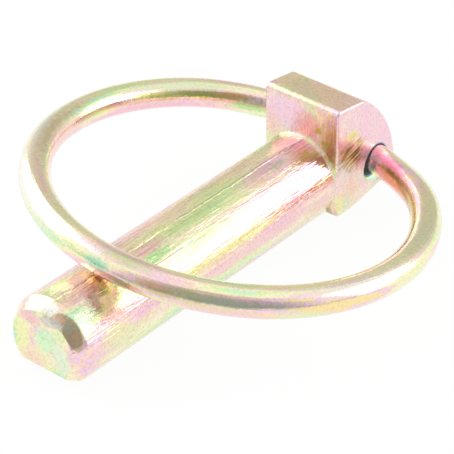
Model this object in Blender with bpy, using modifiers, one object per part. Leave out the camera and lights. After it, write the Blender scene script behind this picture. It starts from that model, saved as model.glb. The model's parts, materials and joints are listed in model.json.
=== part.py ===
"""Linch pin with a wire lock ring, shown closed and lying on its underside.

The pin is one forging: a shank with a flat along its underside, and a head with a slanting cross-hole.
The ring is one piece of spring wire: its two ends sit in the cross-hole, and it rests on the shank.

Sizes are in metres. The origin is on the shank's flat, below the shank's axis, in the shoulder's plane.
+X runs from the tip to the back of the head, +Y to the left and +Z up.
"""

import math

import bmesh
import bpy
from mathutils import Matrix, Vector

MM = 0.001

# Shank: round, with a flat underside, and chamfered all round its end.
SHANK_DIAMETER = 10.0 * MM
SHANK_LENGTH = 41.3 * MM
FLAT_DEPTH = 1.4 * MM
FLAT_CORNER_RADIUS = 0.8 * MM
TIP_CHAMFER_LENGTH = 1.5 * MM
TIP_CHAMFER_DEPTH = 0.9 * MM
TIP_EDGE_RADIUS = 0.25 * MM
SHOULDER_FILLET_RADIUS = 0.5 * MM

# Head, as an outline from the side. It is wider than the shank by a small step on each side.
HEAD_HEIGHT = 13.65 * MM
HEAD_BELOW_FLAT = 0.3 * MM
HEAD_LENGTH = 11.1 * MM
HEAD_SIDE_STEP = 0.05 * MM
HEAD_TOP_LENGTH = 4.7 * MM
HEAD_TOP_SLOPE = math.radians(6.7)
HEAD_BACK_BELOW_AXIS = 2.05 * MM
HEAD_BELLY_SLOPE = math.radians(9.0)
HEAD_BELLY_FLAT_LENGTH = 3.0 * MM
FRONT_TOP_RADIUS = 0.45 * MM
FRONT_FOOT_RADIUS = 0.5 * MM
BACK_TOP_RADIUS = 1.0 * MM
BACK_FOOT_RADIUS = 1.2 * MM
HEAD_RIM_RADIUS = 0.3 * MM

# Wire ring and the cross-hole that its ends turn in.
WIRE_DIAMETER = 3.36 * MM
RING_OUTER_DIAMETER = 45.2 * MM
HOLE_CLEARANCE = 0.35 * MM
HOLE_MOUTH_CHAMFER = 0.3 * MM
HOLE_FROM_BACK = 3.65 * MM
HOLE_ABOVE_SHANK_AXIS = 1.5 * MM
HOLE_SLANT = math.radians(10.7)
RING_TWIST = math.radians(5.6)
RING_SIDE_SHIFT = 0.4 * MM
RING_ABOVE_HINGE = 0.9 * MM
RING_REST_GAP = 0.3 * MM
WIRE_END_GAP = 2.0 * MM
WIRE_END_CHAMFER = 0.25 * MM
STUB_PAST_MOUTH = 0.3 * MM
LEAD_IN_LENGTH = 3.2 * MM
SPRUNG_SWEEP = math.radians(40.0)

# How far one shape of the forging reaches into the next, so that they join as one solid.
ROOT_IN_HEAD = 2.4 * MM
FILLET_OVERLAP = 0.3 * MM
FILLET_SUNK = 0.03 * MM
WELD_DISTANCE = 0.001 * MM

# Fineness of the round shapes.
SHANK_ARC_STEPS = 56
HEAD_ARC_STEPS = 18
CORNER_STEPS = 4
RIM_STEPS = 2
FILLET_STEPS = 4
FILLET_TURN_STEPS = 64
HOLE_STEPS = 32
RING_STEP = math.radians(3.0)
LEAD_IN_STEPS = 6
WIRE_BEVEL_RESOLUTION = 5

SHANK_RADIUS = SHANK_DIAMETER / 2
AXIS_HEIGHT = SHANK_RADIUS - FLAT_DEPTH
WIRE_RADIUS = WIRE_DIAMETER / 2
RING_RADIUS = RING_OUTER_DIAMETER / 2 - WIRE_RADIUS
HEAD_HALF_WIDTH = SHANK_RADIUS + HEAD_SIDE_STEP
HINGE_POINT = Vector((HEAD_LENGTH - HOLE_FROM_BACK, 0.0, AXIS_HEIGHT + HOLE_ABOVE_SHANK_AXIS))
HINGE_AXIS = Vector((0.0, math.cos(HOLE_SLANT), math.sin(HOLE_SLANT)))
MOUTH_DISTANCE = HEAD_HALF_WIDTH / math.cos(HOLE_SLANT)
# The ring's circle runs through the mouths of the cross-hole.
HINGE_TO_CENTRE = math.sqrt(RING_RADIUS**2 - HEAD_HALF_WIDTH**2)


def clear_scene():
    for obj in list(bpy.data.objects):
        bpy.data.objects.remove(obj, do_unlink=True)


def new_collection(name):
    collection = bpy.data.collections.new(name)
    bpy.context.scene.collection.children.link(collection)
    return collection


def plated_steel(name, colour, roughness):
    """Steel with a yellow-passivated zinc plating."""
    material = bpy.data.materials.new(name)
    material.use_nodes = True
    shader = material.node_tree.nodes["Principled BSDF"]
    shader.inputs["Base Color"].default_value = (*colour, 1.0)
    shader.inputs["Metallic"].default_value = 1.0
    shader.inputs["Roughness"].default_value = roughness
    material.diffuse_color = (*colour, 1.0)
    return material


# Outlines are lists of 2D points that run counterclockwise, so the solid is on the left of each heading.


def left_of(heading):
    return Vector((-heading.y, heading.x))


def heading_at(angle):
    return Vector((math.cos(angle), math.sin(angle)))


def arc(centre, radius, start, end, steps):
    """Points of the counterclockwise arc from direction start to direction end."""
    first = math.atan2(start.y, start.x)
    sweep = (math.atan2(end.y, end.x) - first) % math.tau
    return [centre + radius * heading_at(first + sweep * i / steps) for i in range(steps + 1)]


def corner_of_lines(corner, heading_in, heading_out, radius, steps):
    """The rounding where one straight edge turns into another."""
    normal_in = left_of(heading_in)
    normal_out = left_of(heading_out)
    centre = corner + (normal_in + normal_out) * (radius / (1 + normal_in.dot(normal_out)))
    return arc(centre, radius, -normal_in, -normal_out, steps)


def corner_centre(point, heading, big_centre, big_radius, radius, sign):
    """Centre of a rounding that touches the line through point and the inside of the big arc."""
    start = point + left_of(heading) * radius
    offset = start - big_centre
    along = offset.dot(heading)
    reach = math.sqrt(along**2 - offset.length_squared + (big_radius - radius) ** 2)
    return start + heading * (sign * reach - along)


def line_arc_line(edge_in, big_arc, edge_out):
    """A straight edge that turns into a big arc, and the arc that turns into another straight edge.

    An edge is a point on it, its heading and the radius of its corner with the arc.
    """
    point_in, heading_in, radius_in = edge_in
    centre, radius, steps = big_arc
    point_out, heading_out, radius_out = edge_out
    first = corner_centre(point_in, heading_in, centre, radius, radius_in, 1)
    last = corner_centre(point_out, heading_out, centre, radius, radius_out, -1)
    points = arc(first, radius_in, -left_of(heading_in), first - centre, CORNER_STEPS)
    points += arc(centre, radius, first - centre, last - centre, steps)[1:-1]
    points += arc(last, radius_out, last - centre, -left_of(heading_out), CORNER_STEPS)
    return points


def shank_section(inset):
    """The shank's section, seen from the back, with its flat at the bottom, and drawn in all round."""
    flat = (Vector((0.0, inset - AXIS_HEIGHT)), Vector((1.0, 0.0)), FLAT_CORNER_RADIUS)
    round_side = (Vector((0.0, 0.0)), SHANK_RADIUS - inset, SHANK_ARC_STEPS)
    return line_arc_line(flat, round_side, flat)


def shank_profile():
    """From the shank's root to its end: X, and how far the section is drawn in, as a negative offset."""
    to_tip = Vector((-1.0, 0.0))
    inward = Vector((0.0, -1.0))
    chamfer = Vector((-TIP_CHAMFER_LENGTH, -TIP_CHAMFER_DEPTH)).normalized()
    shoulder = Vector((TIP_CHAMFER_LENGTH - SHANK_LENGTH, 0.0))
    rim = Vector((-SHANK_LENGTH, -TIP_CHAMFER_DEPTH))
    points = [Vector((ROOT_IN_HEAD, 0.0))]
    points += corner_of_lines(shoulder, to_tip, chamfer, TIP_EDGE_RADIUS, RIM_STEPS)
    points += corner_of_lines(rim, chamfer, inward, TIP_EDGE_RADIUS, RIM_STEPS)
    return points


def head_back_arc():
    """Centre and radius of the arc from the end of the head's top to its furthest point at the back."""
    furthest_height = AXIS_HEIGHT - HEAD_BACK_BELOW_AXIS
    across = HEAD_LENGTH - HEAD_TOP_LENGTH
    top_end_height = HEAD_HEIGHT - HEAD_BELOW_FLAT - HEAD_TOP_LENGTH * math.tan(HEAD_TOP_SLOPE)
    down = top_end_height - furthest_height
    radius = (across**2 + down**2) / (2 * across)
    return Vector((HEAD_LENGTH - radius, furthest_height)), radius


def head_outline():
    """The head's side outline: X from the shoulder, and Y as the height above the shank's flat."""
    foot = Vector((0.0, -HEAD_BELOW_FLAT))
    along = Vector((1.0, 0.0))
    belly_start = Vector((HEAD_BELLY_FLAT_LENGTH, -HEAD_BELOW_FLAT))
    belly = heading_at(HEAD_BELLY_SLOPE)
    top_front = Vector((0.0, HEAD_HEIGHT - HEAD_BELOW_FLAT))
    top = heading_at(math.pi - HEAD_TOP_SLOPE)
    down = Vector((0.0, -1.0))
    back_centre, back_radius = head_back_arc()
    points = [belly_start]
    points += line_arc_line(
        (belly_start, belly, BACK_FOOT_RADIUS),
        (back_centre, back_radius, HEAD_ARC_STEPS),
        (top_front, top, BACK_TOP_RADIUS),
    )
    points += corner_of_lines(top_front, top, down, FRONT_TOP_RADIUS, CORNER_STEPS)
    points += corner_of_lines(foot, down, along, FRONT_FOOT_RADIUS, CORNER_STEPS)
    return points


def extruded_outline(name, points, half_length, matrix):
    """A flat outline given a thickness, as a curve object."""
    curve = bpy.data.curves.new(name, "CURVE")
    curve.dimensions = "2D"
    curve.fill_mode = "BOTH"
    curve.extrude = half_length
    spline = curve.splines.new("POLY")
    spline.points.add(len(points) - 1)
    for control, point in zip(spline.points, points):
        control.co = (point.x, point.y, 0.0, 1.0)
    spline.use_cyclic_u = True
    obj = bpy.data.objects.new(name, curve)
    obj.matrix_world = matrix
    return obj


def wire_curve(name, points, radius, matrix):
    """A round wire along a centreline, with closed ends, as a curve object."""
    curve = bpy.data.curves.new(name, "CURVE")
    curve.dimensions = "3D"
    curve.twist_mode = "Z_UP"
    curve.bevel_depth = radius
    curve.bevel_resolution = WIRE_BEVEL_RESOLUTION
    curve.use_fill_caps = True
    spline = curve.splines.new("POLY")
    spline.points.add(len(points) - 1)
    for control, point in zip(spline.points, points):
        control.co = (*point, 1.0)
    obj = bpy.data.objects.new(name, curve)
    obj.matrix_world = matrix
    return obj


def as_mesh_object(curve_object, collection):
    """The curve's solid as a mesh object of the same name and place. The curve is removed."""
    collection.objects.link(curve_object)
    bpy.context.view_layer.update()
    name = curve_object.name
    matrix = curve_object.matrix_world.copy()
    evaluated = curve_object.evaluated_get(bpy.context.evaluated_depsgraph_get())
    mesh = bpy.data.meshes.new_from_object(evaluated)
    bpy.data.objects.remove(curve_object, do_unlink=True)
    mesh.name = name
    obj = bpy.data.objects.new(name, mesh)
    obj.matrix_world = matrix
    collection.objects.link(obj)
    shape = bmesh.new()
    shape.from_mesh(mesh)
    bmesh.ops.remove_doubles(shape, verts=shape.verts, dist=WELD_DISTANCE)
    bmesh.ops.recalc_face_normals(shape, faces=shape.faces)
    shape.to_mesh(mesh)
    shape.free()
    return obj


def turned(name, profile, collection, matrix, steps, is_ring=False):
    """A solid of revolution about its own Z axis, from (radius, height) points that run top to bottom.

    A ring's profile returns to its first point, clear of the axis.
    """
    mesh = bpy.data.meshes.new(name)
    points = [(radius, 0.0, height) for radius, height in profile]
    edges = [(i, i + 1) for i in range(len(points) - 1)]
    if is_ring:
        edges.append((len(points) - 1, 0))
    mesh.from_pydata(points, edges, [])
    obj = bpy.data.objects.new(name, mesh)
    obj.matrix_world = matrix
    collection.objects.link(obj)
    screw = obj.modifiers.new("turn", "SCREW")
    screw.axis = "Z"
    screw.angle = math.tau
    screw.steps = steps
    screw.render_steps = steps
    screw.use_merge_vertices = True
    screw.merge_threshold = WELD_DISTANCE
    return obj


def round_rims(obj, width, steps):
    """Rounds the square edges, and leaves the facets of the round shapes alone."""
    bevel = obj.modifiers.new("rims", "BEVEL")
    bevel.limit_method = "ANGLE"
    bevel.angle_limit = math.radians(60.0)
    bevel.width = width
    bevel.segments = steps


def boolean(obj, operation, other):
    modifier = obj.modifiers.new(f"{operation.lower()} {other.name}", "BOOLEAN")
    modifier.operation = operation
    modifier.solver = "EXACT"
    modifier.object = other


def hide_helper(obj):
    obj.hide_render = True
    obj.display_type = "WIRE"


def along_x(x):
    """Local X to the left, local Y up and local Z towards the head."""
    turn = Matrix(((0.0, 0.0, 1.0), (1.0, 0.0, 0.0), (0.0, 1.0, 0.0))).to_4x4()
    return Matrix.Translation((x, 0.0, AXIS_HEIGHT)) @ turn


def end_faces(shape, side):
    """The faces of an extruded outline's end on one side of its local Z."""
    return [face for face in shape.faces if side * face.normal.z > 0.9]


def make_shank(collection):
    """The bar from its root inside the head to the tip, skinned from section to section."""
    shape = bmesh.new()
    last = None
    for x, inset in shank_profile():
        corners = [shape.verts.new((point.x, point.y, x)) for point in shank_section(-inset)]
        section = [shape.edges.new(pair) for pair in zip(corners, corners[1:] + corners[:1])]
        if last:
            bmesh.ops.bridge_loops(shape, edges=last + section)
        last = section
    bmesh.ops.holes_fill(shape, edges=shape.edges, sides=0)
    bmesh.ops.recalc_face_normals(shape, faces=shape.faces)
    shank = bpy.data.objects.new("forged_pin", bpy.data.meshes.new("forged_pin"))
    shape.to_mesh(shank.data)
    shape.free()
    shank.matrix_world = along_x(0.0)
    collection.objects.link(shank)
    return shank


def make_head(collection):
    """The head's outline given its width, with its rims rounded."""
    upright = Matrix.Rotation(math.pi / 2, 4, "X")
    blank = extruded_outline("head_blank", head_outline(), HEAD_HALF_WIDTH, upright)
    head = as_mesh_object(blank, collection)
    shape = bmesh.new()
    shape.from_mesh(head.data)
    for side in (1, -1):
        bmesh.ops.dissolve_faces(shape, faces=end_faces(shape, side))
    shape.to_mesh(head.data)
    shape.free()
    round_rims(head, HEAD_RIM_RADIUS, RIM_STEPS)
    hide_helper(head)
    return head


def make_shoulder_fillet(collection):
    """The hollow fillet round the shank's root, sunk a little into the shank and the head that it joins.

    It is cut off level with the shank's sides, and where the shank's round side turns into its flat.
    """
    radius = SHOULDER_FILLET_RADIUS
    shift = FILLET_SUNK - radius
    inner = SHANK_RADIUS - FILLET_OVERLAP
    outer = SHANK_RADIUS + radius - FILLET_SUNK
    profile = [(inner, FILLET_OVERLAP), (outer, FILLET_OVERLAP)]
    for i in range(FILLET_STEPS + 1):
        angle = math.pi / 2 * i / FILLET_STEPS
        profile.append((outer - radius * math.sin(angle), radius * math.cos(angle) + shift))
    profile.append((inner, shift))
    fillet = turned("shoulder_fillet", profile, collection, along_x(0.0), FILLET_TURN_STEPS, is_ring=True)
    bpy.context.view_layer.update()
    evaluated = fillet.evaluated_get(bpy.context.evaluated_depsgraph_get())
    mesh = bpy.data.meshes.new_from_object(evaluated)
    fillet.modifiers.clear()
    fillet.data = mesh
    side = SHANK_RADIUS + HEAD_SIDE_STEP / 2
    bottom = FLAT_CORNER_RADIUS + FILLET_SUNK - AXIS_HEIGHT
    shape = bmesh.new()
    shape.from_mesh(mesh)
    for point, normal in (
        ((side, 0.0, 0.0), (1.0, 0.0, 0.0)),
        ((-side, 0.0, 0.0), (-1.0, 0.0, 0.0)),
        ((0.0, bottom, 0.0), (0.0, -1.0, 0.0)),
    ):
        geometry = shape.verts[:] + shape.edges[:] + shape.faces[:]
        cut = bmesh.ops.bisect_plane(
            shape, geom=geometry, plane_co=point, plane_no=normal, clear_outer=True
        )
        rim = [item for item in cut["geom_cut"] if isinstance(item, bmesh.types.BMEdge)]
        bmesh.ops.holes_fill(shape, edges=rim, sides=0)
    shape.to_mesh(mesh)
    shape.free()
    hide_helper(fillet)
    return fillet


def hinge_matrix():
    """Local Y along the hinge axis, which is the cross-hole's axis."""
    return Matrix.Translation(HINGE_POINT) @ Matrix.Rotation(HOLE_SLANT, 4, "X")


def make_hole_cutter(collection):
    """The slanting cross-hole with a chamfer at each mouth."""
    radius = WIRE_RADIUS + HOLE_CLEARANCE
    past = HEAD_HALF_WIDTH
    throat = MOUTH_DISTANCE - HOLE_MOUTH_CHAMFER
    wide = radius + past + HOLE_MOUTH_CHAMFER
    end = MOUTH_DISTANCE + past
    profile = [(0.0, end), (wide, end), (radius, throat), (radius, -throat), (wide, -end), (0.0, -end)]
    matrix = hinge_matrix() @ Matrix.Rotation(-math.pi / 2, 4, "X")
    cutter = turned("cross_hole", profile, collection, matrix, HOLE_STEPS)
    hide_helper(cutter)
    return cutter


def ring_directions():
    """Unit vectors in the ring's plane: across to the left, and from the hinge to the far side.

    The rise of the far side is what rests the wire on top of the shank.
    """
    across = Vector((0.0, math.cos(RING_TWIST), math.sin(RING_TWIST)))
    height_at_hinge = (HOLE_ABOVE_SHANK_AXIS + RING_ABOVE_HINGE) * math.cos(RING_TWIST)
    height_at_rest = SHANK_RADIUS + WIRE_RADIUS + RING_REST_GAP
    rise = math.asin((height_at_rest - height_at_hinge) / (HINGE_TO_CENTRE + RING_RADIUS))
    upward = Vector((0.0, -math.sin(RING_TWIST), math.cos(RING_TWIST)))
    outward = upward * math.sin(rise) - Vector((1.0, 0.0, 0.0)) * math.cos(rise)
    return across, outward


def smooth_step(share):
    return share * share * (3 - 2 * share)


def hermite(start, start_tangent, end, end_tangent, share):
    """A point of the cubic that leaves start along one tangent and reaches end along the other."""
    s2 = share * share
    s3 = s2 * share
    return (
        (2 * s3 - 3 * s2 + 1) * start
        + (s3 - 2 * s2 + share) * start_tangent
        + (3 * s2 - 2 * s3) * end
        + (s3 - s2) * end_tangent
    )


def half_centreline(side):
    """The wire's centreline from its end in the hole to the far point, on the left (1) or the right (-1).

    The wire is straight in the hole, leads into the ring's circle, and is sprung up or down onto it.
    """
    across, outward = ring_directions()
    above_hinge = HINGE_POINT + Vector((0.0, 0.0, RING_ABOVE_HINGE))
    centre = above_hinge + outward * HINGE_TO_CENTRE - across * RING_SIDE_SHIFT
    mouth_angle = math.asin((HEAD_HALF_WIDTH + side * RING_SIDE_SHIFT) / RING_RADIUS)

    def circle(angle):
        return centre + RING_RADIUS * (side * math.sin(angle) * across - math.cos(angle) * outward)

    mouth = HINGE_POINT + HINGE_AXIS * (side * MOUTH_DISTANCE)
    spring_offset = mouth - circle(mouth_angle)

    def sprung(angle):
        share = (mouth_angle + SPRUNG_SWEEP - angle) / SPRUNG_SWEEP
        return circle(angle) + spring_offset * smooth_step(min(max(share, 0.0), 1.0))

    stub_end = HINGE_POINT + HINGE_AXIS * (side * (MOUTH_DISTANCE + STUB_PAST_MOUTH))
    join_angle = mouth_angle + (STUB_PAST_MOUTH + LEAD_IN_LENGTH) / RING_RADIUS
    join = sprung(join_angle)
    leave = HINGE_AXIS * side * LEAD_IN_LENGTH
    arrive = (sprung(join_angle + RING_STEP / 10) - join).normalized() * LEAD_IN_LENGTH
    points = [HINGE_POINT + HINGE_AXIS * (side * WIRE_END_GAP / 2), stub_end]
    points += [hermite(stub_end, leave, join, arrive, i / LEAD_IN_STEPS) for i in range(1, LEAD_IN_STEPS)]
    count = math.ceil((math.pi - join_angle) / RING_STEP)
    points += [sprung(join_angle + (math.pi - join_angle) * i / count) for i in range(count + 1)]
    return points


def make_lock_ring(collection):
    """The ring's wire, with its origin on the hinge and its local Y along the hinge axis."""
    to_local = hinge_matrix().inverted()
    centreline = half_centreline(1) + half_centreline(-1)[-2::-1]
    points = [to_local @ point for point in centreline]
    ring = as_mesh_object(wire_curve("lock_ring", points, WIRE_RADIUS, hinge_matrix()), collection)
    round_rims(ring, WIRE_END_CHAMFER, 1)
    return ring


def shade_round(obj):
    obj.data.shade_smooth()
    obj.data.set_sharp_from_angle(angle=math.radians(35.0))


def build():
    clear_scene()
    parts = new_collection("linch_pin")
    helpers = new_collection("cutters_and_blanks")
    pin = make_shank(parts)
    boolean(pin, "UNION", make_shoulder_fillet(helpers))
    boolean(pin, "UNION", make_head(helpers))
    boolean(pin, "DIFFERENCE", make_hole_cutter(helpers))
    ring = make_lock_ring(parts)
    pin.data.materials.append(plated_steel("yellow_zinc_forging", (0.80, 0.71, 0.55), 0.38))
    ring.data.materials.append(plated_steel("yellow_zinc_wire", (0.84, 0.77, 0.60), 0.28))
    shade_round(pin)
    shade_round(ring)
    bpy.context.view_layer.update()


build()
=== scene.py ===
"""Looks of the linch pin: a forged pin and a sprung wire ring, both zinc plated and yellow chromated."""

import json
import math

import bmesh
import bpy
from mathutils import Matrix, Vector


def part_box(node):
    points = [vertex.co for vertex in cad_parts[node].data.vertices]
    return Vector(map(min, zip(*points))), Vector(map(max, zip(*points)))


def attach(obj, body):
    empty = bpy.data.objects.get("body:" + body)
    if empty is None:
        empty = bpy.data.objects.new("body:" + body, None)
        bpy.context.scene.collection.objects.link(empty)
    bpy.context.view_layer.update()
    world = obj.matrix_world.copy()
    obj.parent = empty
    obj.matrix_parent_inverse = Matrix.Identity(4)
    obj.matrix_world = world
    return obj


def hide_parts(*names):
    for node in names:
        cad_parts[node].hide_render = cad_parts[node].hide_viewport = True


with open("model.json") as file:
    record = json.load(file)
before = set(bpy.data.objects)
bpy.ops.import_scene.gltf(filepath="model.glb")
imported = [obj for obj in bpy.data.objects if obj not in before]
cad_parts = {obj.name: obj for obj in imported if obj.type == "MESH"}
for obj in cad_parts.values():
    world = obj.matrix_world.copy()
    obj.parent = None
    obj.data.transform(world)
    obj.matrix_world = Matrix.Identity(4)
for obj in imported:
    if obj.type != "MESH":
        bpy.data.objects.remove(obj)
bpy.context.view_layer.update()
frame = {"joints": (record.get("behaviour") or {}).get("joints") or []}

MM = 0.001
X, Y, Z = (Vector(axis) for axis in ((1, 0, 0), (0, 1, 0), (0, 0, 1)))

# What counts as one place, as facing a way (the cosine to it) and as a smooth edge.
SAME_PLACE = 0.01 * MM
MERGE_DISTANCE = 0.002 * MM
CUT_THRESHOLD = 0.001 * MM
FACING = 0.9
SMOOTH_ANGLE = math.radians(35)

# Sizes that the CAD model's boxes and joint give.
PIN_LOW, PIN_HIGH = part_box("forged_pin")
SHANK_LENGTH = -PIN_LOW.x
HEAD_LENGTH = PIN_HIGH.x
HEAD_HALF_WIDTH = PIN_HIGH.y
FOOT_HEIGHT = PIN_LOW.z
HINGE = Vector(frame["joints"][0]["pos_m"])
HINGE_AXIS = Vector(frame["joints"][0]["axis"]).normalized()

# Shank: round, with a flat underside and a chamfered end.
SHANK_RADIUS = 5.0 * MM
AXIS_HEIGHT = 3.6 * MM
FLAT_CORNER_RADIUS = 1.2 * MM
TIP_CHAMFER_LENGTH = 1.5 * MM
TIP_CHAMFER_DEPTH = 0.9 * MM
TIP_EDGE_WIDTH = 0.12 * MM
TIP_EDGE_SEGMENTS = 3
TIP_NICK_TURN = math.radians(21.0)
TIP_NICK_SLOPE = math.radians(30.0)
TIP_NICK_REACH = 3.7 * MM
ROOT_IN_HEAD = 2.4 * MM
SHANK_STEPS = 120
FLAT_CORNER_STEPS = 8

# Fillet at the shank's root. It runs into shank and head, its thin edges end just under their
# faces, and it is cut off just past the shank's sides.
FILLET_RADIUS = 0.5 * MM
FILLET_ROOT = 0.3 * MM
FILLET_SINK = 0.01 * MM
FILLET_PAST_SHANK = 0.02 * MM
FILLET_STEPS = 10
FILLET_ROUND_STEPS = 160

# Head, as an outline from the side. Its top also rises to the left.
HEAD_TOP = 13.35 * MM
HEAD_TOP_LENGTH = 4.7 * MM
HEAD_TOP_SLOPE = math.radians(6.7)
HEAD_TOP_RISE_LEFT = 0.28 * MM
HEAD_RISE_START = 8.0 * MM
HEAD_BACK_HEIGHT = 1.55 * MM
HEAD_BELLY_SLOPE = math.radians(9.0)
HEAD_BELLY_FLAT = 3.0 * MM
FRONT_TOP_RADIUS = 0.6 * MM
FRONT_FOOT_RADIUS = 0.9 * MM
BACK_TOP_RADIUS = 1.0 * MM
BACK_FOOT_RADIUS = 1.2 * MM
HEAD_RIM_RADIUS = 0.3 * MM
HEAD_RIM_SEGMENTS = 4
HEAD_CORNER_STEPS = 8
HEAD_BACK_FOOT_STEPS = 14
HEAD_BACK_STEPS = 40

# Ring and the cross-hole that its ends turn in.
WIRE_RADIUS = 1.68 * MM
RING_RADIUS = 20.92 * MM
HOLE_CLEARANCE = 0.35 * MM
HOLE_RADIUS = WIRE_RADIUS + HOLE_CLEARANCE
HOLE_SIDES = 96
HOLE_MOUTH_CHAMFER = 0.2 * MM
HOLE_SHIFT = Vector((-0.12, 0.0, -0.22)) * MM
RING_TWIST = math.radians(5.6)
RING_SIDE_SHIFT = 0.4 * MM
RING_ABOVE_HINGE = 0.9 * MM
RING_REST_GAP = 0.3 * MM
WIRE_END_GAP = 2.0 * MM
WIRE_END_CHAMFER = 0.25 * MM
WIRE_END_SEGMENTS = 3
WIRE_END_REACH = 1.01 * WIRE_RADIUS
WIRE_BEVEL_RESOLUTION = 10
STUB_PAST_MOUTH = 0.3 * MM
LEAD_IN_LENGTH = 3.2 * MM
SPRUNG_SWEEP = math.radians(40.0)
RING_STEP = math.radians(1.5)
RING_TANGENT_STEP = RING_STEP / 10
LEAD_IN_STEPS = 14
MOUTH_DISTANCE = HEAD_HALF_WIDTH / HINGE_AXIS.y

# Chromate film: its colours from thin to thick, the grain of the plating under it, and its wear.
FILM_COLOURS = (
    (0.00, "#CDF4E6"),
    (0.18, "#D9F8BE"),
    (0.34, "#F6F9BC"),
    (0.48, "#FFF6DA"),
    (0.60, "#FFE8C8"),
    (0.72, "#FFD6DC"),
    (0.86, "#F6D6F2"),
    (1.00, "#FFE9AE"),
)
MIDDLE_THICKNESS = 0.5
FILM_GRAIN = 0.28 * MM
CRYSTAL_SHADES = ((0.25, "#E6E2D8"), (0.5, "#FCFBF8"), (0.65, "#FFFFFF"))
FORGING_SPECKLE = 0.8
WIRE_SPECKLE = 0.5
GLOSS_PATCH = 0.5 * MM
GLOSS_NOISE = (0.3, 0.7)
SHANK_ROUGHNESS = (0.08, 0.22)
HEAD_ROUGHNESS = (0.2, 0.4)
WIRE_ROUGHNESS = (0.08, 0.18)
BORE_ROUGHNESS = 0.7
# The cross-hole's grey-blue is a painted tint for the shade in the gap round the wire.
BORE_PAINTED_SHADE_TINT = "#AEBEC6"

# Scale along the grain as a share of the scale across it: along the shank and up the head, and
# along the wire. Even grain has none.
FORGING_STRETCH = {"flow": (0.2, 0.5), "drawn": (0.05, 0.12)}
WIRE_STRETCH = {"flow": 0.15, "drawn": 0.04}

# Clouds in the film's thickness: the grain that they follow, their size and their weight.
FORGING_CLOUDS = (
    ("flow", 4.5 * MM, 2.4),
    ("flow", 1.1 * MM, 0.5),
    ("drawn", 0.45 * MM, 0.8),
    ("even", FILM_GRAIN, 0.3),
)
WIRE_CLOUDS = (
    ("flow", 2.6 * MM, 2.2),
    ("flow", 0.7 * MM, 0.7),
    ("drawn", 0.4 * MM, 0.9),
    ("even", FILM_GRAIN, 0.6),
)

# Relief of the surface: the grain that it follows, its size across and its height.
FORGING_RELIEF = (
    ("flow", 1.4 * MM, 0.100 * MM),
    ("drawn", 0.30 * MM, 0.080 * MM),
    ("flow", 0.30 * MM, 0.050 * MM),
    ("even", 0.20 * MM, 0.015 * MM),
)
WIRE_RELIEF = (
    ("flow", 1.0 * MM, 0.030 * MM),
    ("drawn", 0.25 * MM, 0.026 * MM),
    ("even", 0.22 * MM, 0.016 * MM),
)
SLIGHT_RELIEF = 0.3

# Where, along X, the shank's finish gives way to the head's, and how soon it starts at the tip.
GRAIN_TURNS = (-0.3 * MM, -0.1 * MM)
GLOSS_TURNS = (-0.4 * MM, 0.0)
RELIEF_FADES_AT_HEAD = (-0.1 * MM, -0.6 * MM)
RELIEF_FADES_AT_TIP = 0.4 * MM

# The ridge that the dies' joint leaves along the top of the shank.
PARTING_LINE_Y = -0.45 * MM
PARTING_LINE_WIDTH = 0.22 * MM
PARTING_LINE_WANDER = 0.5 * MM
PARTING_LINE_WAVE = 1.6 * MM
PARTING_LINE_HEIGHT = 0.09 * MM

# Scratches by the hole's right mouth: centre and reach in mm and strength, as for a patch, and
# their colours from bottom to rim, from olive-brown painted dim reflection to pale painted glints.
SCRATCHED_PLACE = ((2.7, -5.1, 6.9), (2.6, 0.4, 2.2), 0.95)
SCRATCH_SLANT = math.radians(15.0)
SCRATCH_PITCH = 0.22 * MM
SCRATCH_STRETCH = 0.07
SCRATCH_AND_PAINTED_REFLECTION_COLOURS = (
    (0.40, "#6E6628"),
    (0.47, "#A09448"),
    (0.53, "#E0D688"),
    (0.60, "#FFFAE2"),
)

# How ragged a patch's edge is, and where it fades in and out, as shares of its softness.
PATCH_RAG = 0.7 * MM
PATCH_SOFTNESS = 0.8
PATCH_RAG_SWING = 2.0
PATCH_FADE_OUT = 1.25
PATCH_FADE_IN = 0.25
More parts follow.
